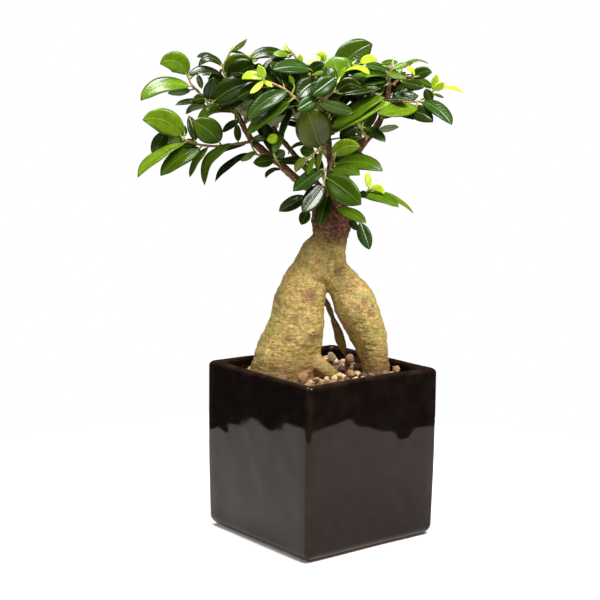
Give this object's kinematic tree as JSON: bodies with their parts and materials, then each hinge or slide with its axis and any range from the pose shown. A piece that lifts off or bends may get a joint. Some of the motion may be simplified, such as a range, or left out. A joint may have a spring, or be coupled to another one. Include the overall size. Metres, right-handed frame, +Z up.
{
  "type": "bonsai tree in a pot",
  "caption": "Small fig bonsai with a swollen two-legged root and a spreading leafy crown, rooted in gravel-topped soil in a square glazed pot.",
  "frame": {"origin": "centre of the pot's flat base, on the surface it stands on", "axes": "+Z up along the tree; +X and +Y square to the pot's faces, with the leafy front of the tree towards -X -Y"},
  "size_m": [0.2411, 0.2124, 0.3998],
  "materials": {
    "pot_glaze": "dark brown-black gloss glaze on slip-cast stoneware, lighter where it thins over the rim and corners",
    "soil": null,
    "gravel": "matt mixed beige, pink-brown and grey gravel",
    "root_bark": "smooth thin bark, greenish beige with brown lenticels and rings",
    "twig_bark": "red-brown to light-brown young bark",
    "leaf": null
  },
  "bodies": {
    "root": {"gravel_bed": "gravel", "limb_back": "twig_bark", "limb_back_left": "twig_bark", "limb_back_right": "twig_bark", "limb_centre": "twig_bark", "limb_left": "twig_bark", "limb_right": "twig_bark", "pot": "pot_glaze", "rootstock": "root_bark", "shoot_back_left_low": "leaf", "shoot_back_left_mid": "leaf", "shoot_back_left_top": "leaf", "shoot_back_low": "leaf", "shoot_back_mid": "leaf", "shoot_back_right_low": "leaf", "shoot_back_right_mid": "leaf", "shoot_back_right_top": "leaf", "shoot_back_top": "leaf", "shoot_centre_bright": "leaf", "shoot_centre_front": "leaf", "shoot_centre_leader": "leaf", "shoot_centre_left": "leaf", "shoot_centre_right": "leaf", "shoot_centre_top": "leaf", "shoot_front_left": "leaf", "shoot_front_top": "leaf", "shoot_inner_centre": "leaf", "shoot_inner_left": "leaf", "shoot_inner_right": "leaf", "shoot_left_elbow": "leaf", "shoot_left_end": "leaf", "shoot_left_low": "leaf", "shoot_left_mid": "leaf", "shoot_left_top": "leaf", "shoot_left_under": "leaf", "shoot_low_front": "leaf", "shoot_low_left": "leaf", "shoot_low_right": "leaf", "shoot_right_crown": "leaf", "shoot_right_fan": "leaf", "shoot_right_low": "leaf", "shoot_right_mid": "leaf", "shoot_right_tip": "leaf", "shoot_right_upper": "leaf", "shoot_top_left": "leaf", "soil": "soil", "stone_01": "gravel", "stone_02": "gravel", "stone_03": "gravel", "stone_04": "gravel", "stone_05": "gravel", "stone_06": "gravel", "stone_07": "gravel", "stone_08": "gravel", "stone_09": "gravel", "stone_10": "gravel", "stone_11": "gravel", "stone_12": "gravel", "stone_13": "gravel", "stone_14": "gravel"}
  },
  "joints": []
}
